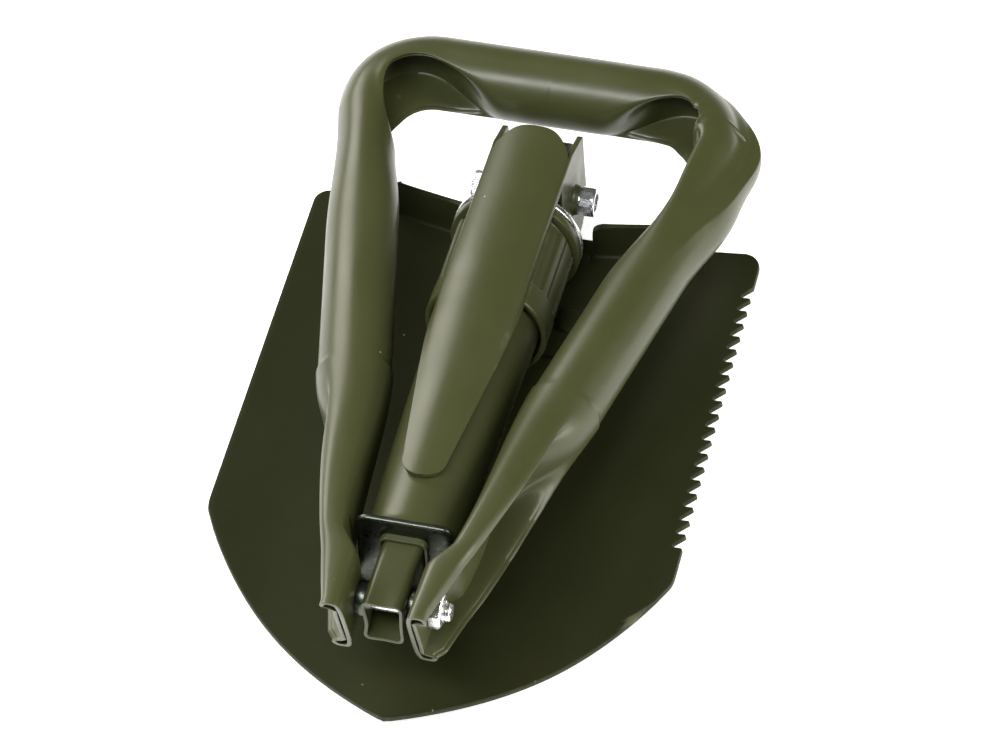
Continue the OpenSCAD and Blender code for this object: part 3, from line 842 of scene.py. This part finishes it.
def make_cap_screw(name, centre, x_face, x_top, shank_to, body, node):
    """Knurled socket head on the left; x_top is further left than x_face."""
    def knurl(angles, x, r):
        ridge = np.abs(np.sin(angles * 18))
        inside = between(x, x_top + 0.5, x_top + 0.8, x_face - 0.5, x_face - 0.2)
        return np.full(len(angles), float(r)) - 0.28 * (1 - ridge) * (r > 4.7) * inside

    head = [(x_face, 3.0), (x_face, 4.6), (x_face - 0.25, 4.9)]
    head += [(x, 4.9) for x in np.linspace(x_face - 0.6, x_top + 0.7, 10)]
    head += [(x_top + 0.35, 4.75), (x_top + 0.05, 4.4), (x_top, 4.0), (x_top, 3.35), (x_top + 0.2, 3.1)]
    mesh = Mesh().add_grid(turned(head, 216, along_x(centre), knurl), wrap=True, flip=True)
    bore = [(x_top + 0.2, 3.1), (x_top + 0.35, 2.9), (x_top + 2.6, 2.9)]
    recess = turned(bore, 216, along_x(centre), hex_socket(5.0, 3.2))
    mesh.add_grid(recess, wrap=True, flip=True)
    mesh.add_fan(recess[-1])
    shank = turned([(x_face - 0.1, 3.0), (shank_to, 3.0)], 216, along_x(centre))
    mesh.add_grid(shank, wrap=True)
    mesh.add_fan(shank[-1])
    build(name, mesh, ZINC, body, [node], sharp=35)


def make_barrel_nut(centre, x0, x1):
    """Round lock nut with twelve faint facets, a chamfered rim and a hexagon socket in its end."""
    def facets(angles, x, r):
        turn = angles % (math.pi / 6) - math.pi / 12
        return np.where((r > 4.5) & (x > x0 + 0.7) & (x < x1 - 0.9), r * 0.972 / np.cos(turn), r)

    profile = [(x0, 3.2), (x0, 4.3), (x0 + 0.25, 4.65), (x0 + 0.6, 4.65), (x0 + 0.75, 4.85)]
    profile += [(x, 4.85) for x in np.linspace(x0 + 1.0, x1 - 1.0, 6)]
    profile += [(x1 - 0.8, 4.85), (x1 - 0.35, 4.75), (x1 - 0.08, 4.45), (x1, 4.1), (x1, 3.5)]
    profile += [(x1 - 0.25, 3.15)]
    mesh = Mesh().add_grid(turned(profile, 144, along_x(centre), facets), wrap=True)
    bore = [(x1 - 0.25, 3.15), (x1 - 0.45, 2.95), (x1 - 2.9, 2.95)]
    recess = turned(bore, 144, along_x(centre), hex_socket(5.1, 3.4))
    mesh.add_grid(recess, wrap=True)
    mesh.add_fan(recess[-1])
    build("pivot_nut_skin", mesh, ZINC, "shaft", ["pivot_nut"], sharp=24)


def make_fasteners():
    """Bolt and barrel nut of the blade pivot, bolt and hexagon nut of the handle; CAD nodes give the ends."""
    pivot = (0, PIVOT[1], PIVOT[2])
    bolt = (0, BOLT[1], BOLT[2])
    low, high = node_box("pivot_nut")
    make_barrel_nut(pivot, low[0] + 0.3, high[0] + 0.9)
    low, _ = node_box("pivot_bolt")
    make_cap_screw("pivot_bolt_skin", pivot, -15.35, low[0], 15.0, "shaft", "pivot_bolt")
    low, _ = node_box("handle_nut")
    make_nut("handle_nut_skin", bolt, low[0], low[0] + 3.9, "handle", "handle_nut", 2.5)
    low, _ = node_box("handle_bolt")
    make_cap_screw("handle_bolt_skin", bolt, -13.05, low[0], 12.5, "handle", "handle_bolt")


# ---------- Handle ----------

CORNER_X = 64.5              # half distance between the legs' axes at the bar
CORNER_BEND = 20.0           # bend radius of the corners
LEG_X0 = 14.6                # the same half distance at the bolt, if the legs ran straight on
HANDLE_L = float(np.linalg.norm(BAR - BOLT))
LEG_SLOPE = (CORNER_X - LEG_X0) / HANDLE_L
LEG_TURN = math.atan(LEG_SLOPE)
BEND_X = CORNER_X - CORNER_BEND * math.tan((math.pi / 2 + LEG_TURN) / 2)
ARC = CORNER_BEND * (math.pi / 2 + LEG_TURN)
CRUSH_END = 85.0             # the legs are round tube above this y
SPREAD_Y, SPREAD_X = 15.2, 19.9
LEG_FACE, LEG_LOOP = 9.8, 7.4        # inner face and width of the flattened end
LEG_WEB, LEG_END_H, LEG_LIFT = 3.2, 31.5, 1.4
LEG_END, CUT_SKEW = -16.5, 7.7       # the cut end and its slant
GRIP_WALL, PRESS_GAP = 1.35, 0.15    # wall of the tube, and the slit left between its pressed walls
LEG_THINNER = 0.6                    # the legs' radius is this much less than the bar's
POCKET_DEPTH = 0.66
# dimples by the right corner's rim: distance past the corner, angle, length, width and depth
CRIMPS = [(-5.5, 99.0, 1.8, 10.0, 0.5), (-0.5, 94.0, 1.9, 12.0, 0.7), (4.5, 101.0, 1.8, 10.0, 0.5)]


def crush(y):
    """0 where a leg is round tube, rising to 1 where it's flattened."""
    return float(smooth((CRUSH_END - y) / (CRUSH_END - SPREAD_Y)))


OUTER_SLOPE = (LEG_X0 + LEG_SLOPE * CRUSH_END + GRIP_R - LEG_FACE - LEG_LOOP) / (CRUSH_END + 14)


def leg_sides(y):
    """Inner face and outer edge of a leg: the edge runs straight to the end, the face steps in."""
    centre = LEG_X0 + LEG_SLOPE * y
    if y >= CRUSH_END:
        return centre - GRIP_R, centre + GRIP_R
    outer = max(LEG_FACE + LEG_LOOP + OUTER_SLOPE * (y + 14), LEG_FACE + LEG_LOOP)
    beside = mix(SPREAD_X, LEG_X0 + LEG_SLOPE * CRUSH_END, (y - SPREAD_Y) / (CRUSH_END - SPREAD_Y))
    beside -= mix(GRIP_R, LEG_LOOP / 2, crush(y))
    inner = mix(LEG_FACE, beside, float(smooth((y - 4.0) / 11.0)))
    return inner, outer


def leg_axis(y):
    inner, outer = leg_sides(y)
    return (inner + outer) / 2


def handle_path():
    """Stations from the bar to a leg's end: x, y, turn, distance past the corner's middle, end skew."""
    path = []
    for x in np.linspace(0, BEND_X, 44, endpoint=False):
        path.append((x, HANDLE_L, 0.0, -(ARC / 2) - (BEND_X - x), 0.0))
    for t in np.linspace(0, 1, 60, endpoint=False):
        turn = t * (math.pi / 2 + LEG_TURN)
        x = BEND_X + CORNER_BEND * math.sin(turn)
        y = HANDLE_L - CORNER_BEND + CORNER_BEND * math.cos(turn)
        path.append((x, y, turn, (t - 0.5) * ARC, 0.0))
    start = HANDLE_L - CORNER_BEND - CORNER_BEND * math.sin(LEG_TURN)
    round_part = np.linspace(start, CRUSH_END, 70, endpoint=False)
    for y in np.concatenate([round_part, np.linspace(CRUSH_END, -6, 120)]):
        past = ARC / 2 + (start - y) / math.cos(LEG_TURN)
        path.append((leg_axis(y), y, math.pi / 2 + LEG_TURN * (1 - crush(y)), past, 0.0))
    for t in np.linspace(0, 1, 12)[1:]:
        y = mix(-6, LEG_END, t)
        path.append((leg_axis(y), y, math.pi / 2, ARC / 2 + start - y, CUT_SKEW * t))
    return path


def window(t, low, high, soft_low, soft_high):
    """1 between the angles low and high, with soft edges; all in degrees."""
    return smooth((t - low) / soft_low + 0.5) * smooth((high - t) / soft_high + 0.5)


def fold_lines(y, past, side):
    """Angles of the lines that the mesh follows: both edges of the press, and the pocket's rim and bottom."""
    c = crush(y)
    lower = mix(-24.0, -38.0, float(smooth(c * 1.1)))
    crease = mix(14.0, 52.0, float(smooth((past - 10) / 46))) if c == 0 else mix(52.0, 38.0, c)
    if past < 0:
        away = float(np.clip((-past - 4) / 38, 0, 1))
        rim = 97 + (48 if side < 0 else 60) * away ** 1.5
    elif side < 0:
        away = float(np.clip(past / 34, 0, 1))
        rim = 97 + 62 * away ** 1.2
    else:
        away = float(np.clip(past / 30, 0, 1))
        rim = 97 + 74 * float(smooth(past / 17))
    bottom = mix(214.0, 226.0, away)
    return c, lower, crease, rim, bottom, away


def spread(a, b, n):
    """n angles from a up to b, closer together near both ends."""
    return a + (b - a) * (1 - np.cos(np.pi * np.arange(n) / n)) / 2


def ring_angles(lines):
    """Angles of a section's points, in degrees, packed closer beside the fold lines."""
    _, lower, crease, rim, bottom, _ = lines
    return np.concatenate([spread(-90, lower, 24), spread(lower, crease, 30), spread(crease, rim, 28),
                           spread(rim, bottom, 40), spread(bottom, 270, 22)])


def section(lines, y, past, side, inset):
    """Section of the handle tube, outwards and up, at the angles that follow its folds."""
    c, lower, crease, rim, bottom, away = lines
    t = ring_angles(lines)
    cos, sin = np.cos(np.radians(t)), np.sin(np.radians(t))
    inner, outer = leg_sides(y)
    tube_r = GRIP_R - LEG_THINNER * float(smooth(past / 30))
    half_w = (tube_r if c == 0 else (outer - inner) / 2) - inset
    half_h = mix(tube_r, LEG_END_H / 2, c) - inset
    power = 1 - c / 2
    u = half_w * signed_power(cos, power)
    z = c * LEG_LIFT + half_h * signed_power(sin, power)
    if c > 0:
        # the outer wall is pressed in between an upper and a lower roll
        full = 2 * half_w + 2 * inset - LEG_WEB - (PRESS_GAP if inset > 0 else 0)
        depth = full * float(smooth(c * 1.35))
        press = window(t, lower, crease, mix(44.0, 15.0, c), mix(16.0, 10.0, c))
        u = u - depth * press
        return u, z
    # the inside of each corner is folded in, from a rim along the top to a rim below
    keep = 0.06 if past < 0 else 0.4
    fold = float(1 - smooth((away - keep) / (1 - keep)))
    if fold > 0:
        soft = mix(9.0, 74.0, away ** 1.3)
        pocket = window(t, rim + soft / 2, bottom, soft, 14.0)
        u = mix(u, mix(u, -POCKET_DEPTH * u, fold), pocket)
        # the rims stand up a little beside the fold
        lip = fold * between(abs(past), -9, -8, 10, 30)
        z = z + 0.5 * lip * np.exp(-((t - rim + 3) / 9) ** 2)
    if side > 0:
        # the right corner is drawn in, its lower roll swells below the crease and its upper roll is flattened
        drawn_in = 2.6 * float(between(past, -24.0, -6.0, 16.0, 46.0))
        swell = 3.6 * float(between(past, -2.0, 14.0, 30.0, 66.0))
        flatten = 3.0 * float(between(past, -16.0, 10.0, 34.0, 72.0))
        narrow = 5.6 * float(between(past, 2.0, 16.0, 34.0, 80.0))
        u = u - drawn_in
        u = u + swell * window(t, -80.0, crease, 60.0, 6.0)
        u = u - flatten * window(t, crease + 8, 108.0, 16.0, 70.0)
        u = u + narrow * window(t, 124.0, 240.0, 70.0, 60.0)
        for at, angle, long, wide, deep in CRIMPS:
            dimple = deep * math.exp(-((past - at) / long) ** 2) * np.exp(-((t - angle) / wide) ** 2)
            u = u - dimple
            z = z - 1.3 * dimple
    else:
        # the left leg is squeezed a little from both sides just below its corner
        squeeze = 2.0 * float(between(past, -6.0, 16.0, 26.0, 70.0))
        narrow = 2.2 * float(between(past, 8, 20, 32, 60))
        u = u - squeeze * window(t, -48.0, 62.0, 84.0, 84.0)
        u = u + narrow * window(t, 120.0, 236.0, 60.0, 60.0)
    return u, z


def handle_ring(station, side, inset):
    """One ring of the handle's tube, left (-1) or right (1); inset is 0 outside and the wall inside."""
    x, y, turn, past, skew = station
    u, z = section(fold_lines(y, past, side), y, past, side, inset)
    out_x = side * (x + u * math.sin(turn))
    out_y = y + u * math.cos(turn) + skew * (0.5 - (z - LEG_LIFT) / LEG_END_H)
    return handle_point(out_x, out_y, z)


def make_handle():
    """Sweeps the section from the left leg's end over the bar to the right leg's end, outside and inside."""
    path = handle_path()
    run = [(s, -1) for s in path[:0:-1]] + [(s, 1) for s in path]
    outer = [handle_ring(s, side, 0.0) for s, side in run]
    inner = [handle_ring(s, side, GRIP_WALL) for s, side in run]
    # the cut ends are rounded by one ring between the two skins
    end_round = 0.35 / 1.2
    first = (outer[0] + inner[0]) / 2 + end_round * (outer[0] - outer[1])
    last = (outer[-1] + inner[-1]) / 2 + end_round * (outer[-1] - outer[-2])
    rows = [first] + outer + [last] + inner[::-1] + [first]
    mesh = Mesh().add_grid(np.array(rows), wrap=True)
    build("handle_tube_skin", mesh, OLIVE, "handle", ["handle_tube"], sharp=46)


# ---------- CAD nodes kept as they are, with finishes ----------

def finish_cad_node(name, material, edge=0.25):
    """Gives a CAD node its material and rounds its edges by edge."""
    piece = frame["nodes"][name]
    piece.data.materials.clear()
    piece.data.materials.append(material)
    weld = piece.modifiers.new("weld", "WELD")
    weld.merge_threshold = 1e-6
    bevel = piece.modifiers.new("bevel", "BEVEL")
    bevel.width = edge * MM
    bevel.segments = 2
    bevel.limit_method = "ANGLE"
    bevel.angle_limit = math.radians(40)
    bevel.harden_normals = True


# ---------- Stage ----------

def make_stage():
    data = bpy.data.meshes.new("floor")
    size = 3.0
    corners = [(-size, -size, 0), (size, -size, 0), (size, size, 0), (-size, size, 0)]
    data.from_pydata(corners, [], [(0, 1, 2, 3)])
    material, tree, shader, coords = node_material("floor_paper")
    tone = ramp(tree, noise(tree, coords, 3.0, 2, 0.5), [(0.3, 0.90), (0.7, 0.93)])
    tree.links.new(tone, shader.inputs["Base Color"])
    set_inputs(shader, {"Roughness": 0.9, "Specular IOR Level": 0.1})
    set_inputs(shader, {"Emission Color": (1, 1, 1, 1), "Emission Strength": 0.74})
    data.materials.append(material)
    floor = add_to_scene("floor", data)
    floor.location = (0, 0, -0.0004)


def area_light(name, place, size, power, tone=(1, 1, 1)):
    data = bpy.data.lights.new(name, "AREA")
    data.shape = "RECTANGLE"
    data.size, data.size_y = size
    data.energy = power
    data.color = tone
    lamp = add_to_scene(name, data)
    lamp.location = place
    lamp.rotation_mode = "QUATERNION"
    lamp.rotation_quaternion = (-Vector(place)).to_track_quat("-Z", "Y")


WARM = (1, 0.965, 0.88)


def make_lights():
    """Soft boxes: a warm key from behind on the left, a strip above, and weaker ones on both sides."""
    world = bpy.data.worlds.new("studio")
    world.use_nodes = True
    set_inputs(world.node_tree.nodes["Background"], {"Color": (1, 1, 1, 1), "Strength": 0.10})
    bpy.context.scene.world = world
    area_light("key_box", (-0.90, 0.60, 0.72), (0.75, 0.75), 15, WARM)
    area_light("top_box", (-0.18, -0.5, 1.15), (0.9, 0.3), 16)
    area_light("right_box", (1.05, -0.05, 0.5), (0.35, 0.9), 13, WARM)
    area_light("left_box", (-1.1, -0.45, 0.5), (0.5, 0.9), 4)
    bpy.context.scene.view_settings.view_transform = "Standard"
    bpy.context.scene.view_settings.look = "None"


def make_camera():
    """Long lens from above and in front, turned a little to the right and tilted."""
    azimuth, elevation, roll = math.radians(18.45), math.radians(52.28), math.radians(-5.64)
    target = Vector((0.0032, 0.01245, 0.007))
    distance = 1.5
    back = Vector((math.sin(azimuth) * math.cos(elevation), -math.cos(azimuth) * math.cos(elevation),
                   math.sin(elevation)))
    level = Vector((math.cos(azimuth), math.sin(azimuth), 0))
    raised = back.cross(level)
    right = level * math.cos(roll) + raised * math.sin(roll)
    up = back.cross(right)
    data = bpy.data.cameras.new("camera")
    data.sensor_width = 36
    data.lens = 167.4
    data.clip_start, data.clip_end = 0.05, 20
    camera = add_to_scene("camera", data)
    turned_to = Matrix((right, up, back)).transposed().to_4x4()
    camera.matrix_world = Matrix.Translation(target + back * distance) @ turned_to
    bpy.context.scene.camera = camera


make_camera()
make_blade()
make_rivets()
make_channel()
make_inner_tube()
make_outer_tube()
make_end_plate()
make_pressure_ring()
make_collar()
make_fasteners()
make_handle()
finish_cad_node("hinge_bracket", DARK)
finish_cad_node("thread_ferrule", OLIVE, 0.2)
finish_cad_node("pivot_washers", ZINC, 0.1)
# the handle's washers get the darkened zinc, as painted shade in the gap beside the inner tube
finish_cad_node("handle_washers", ZINC_PAINTED_SHADE, 0.15)
make_stage()
make_lights()
